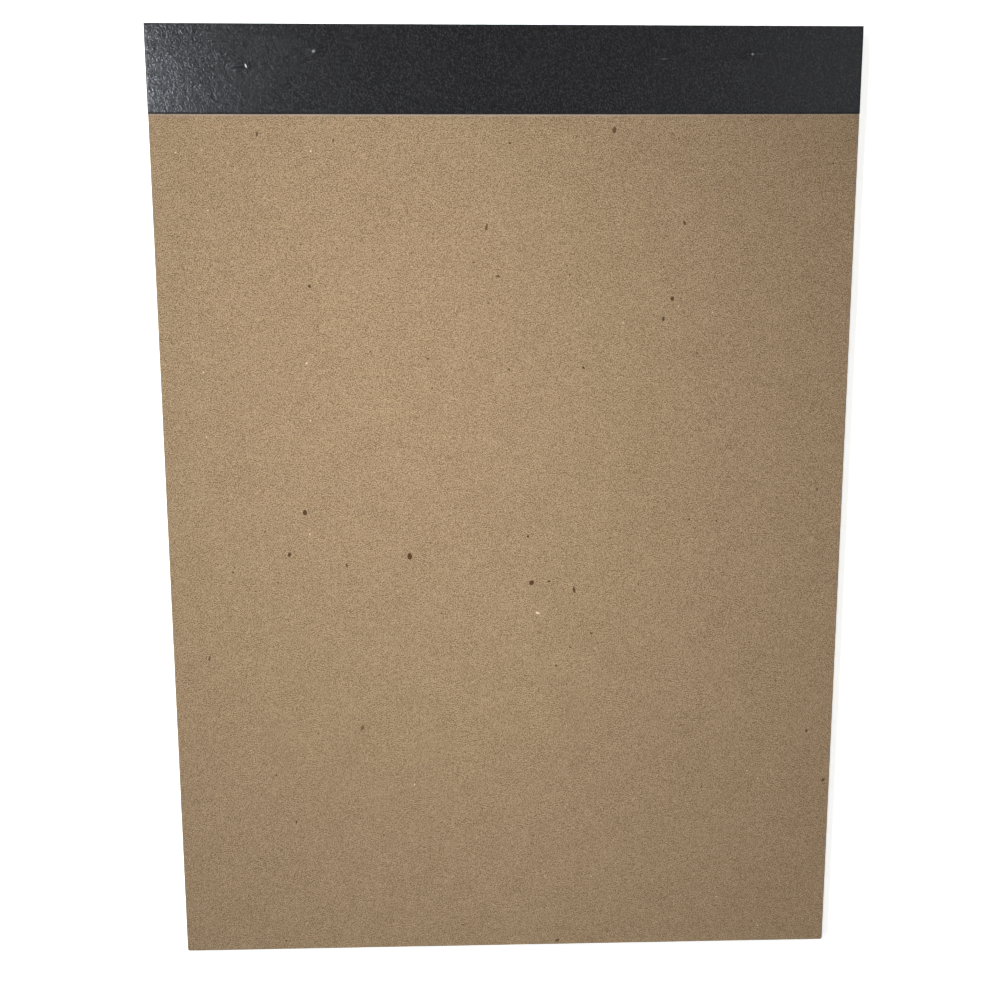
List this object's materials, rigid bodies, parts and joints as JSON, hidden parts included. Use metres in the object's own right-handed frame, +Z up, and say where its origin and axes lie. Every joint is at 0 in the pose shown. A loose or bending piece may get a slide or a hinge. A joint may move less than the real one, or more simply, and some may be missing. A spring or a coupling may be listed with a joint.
{
  "type": "legal pad",
  "caption": "Letter-size writing pad on a chipboard back, its sheets perforated below the stub, stapled at the head and bound with a folded leatherette tape.",
  "frame": {"origin": "middle of the footprint, on the surface that the pad lies on", "axes": "+Z up out of the board's back, +Y towards the bound head, +X to the right as the back is looked at with the head up"},
  "size_m": [0.216, 0.2986, 0.0066],
  "materials": {
    "sheets": "uncoated canary writing paper, trimmed edges",
    "board": "uncoated brown chipboard with fibre grain and dark specks",
    "tape": "black leatherette-embossed binding tape, semi-gloss",
    "wire": "galvanised stitching wire"
  },
  "bodies": {
    "root": {"sheet_block": "sheets", "backing_board": "board", "binding_tape": "tape", "staple_left": "wire", "staple_right": "wire"}
  },
  "joints": []
}
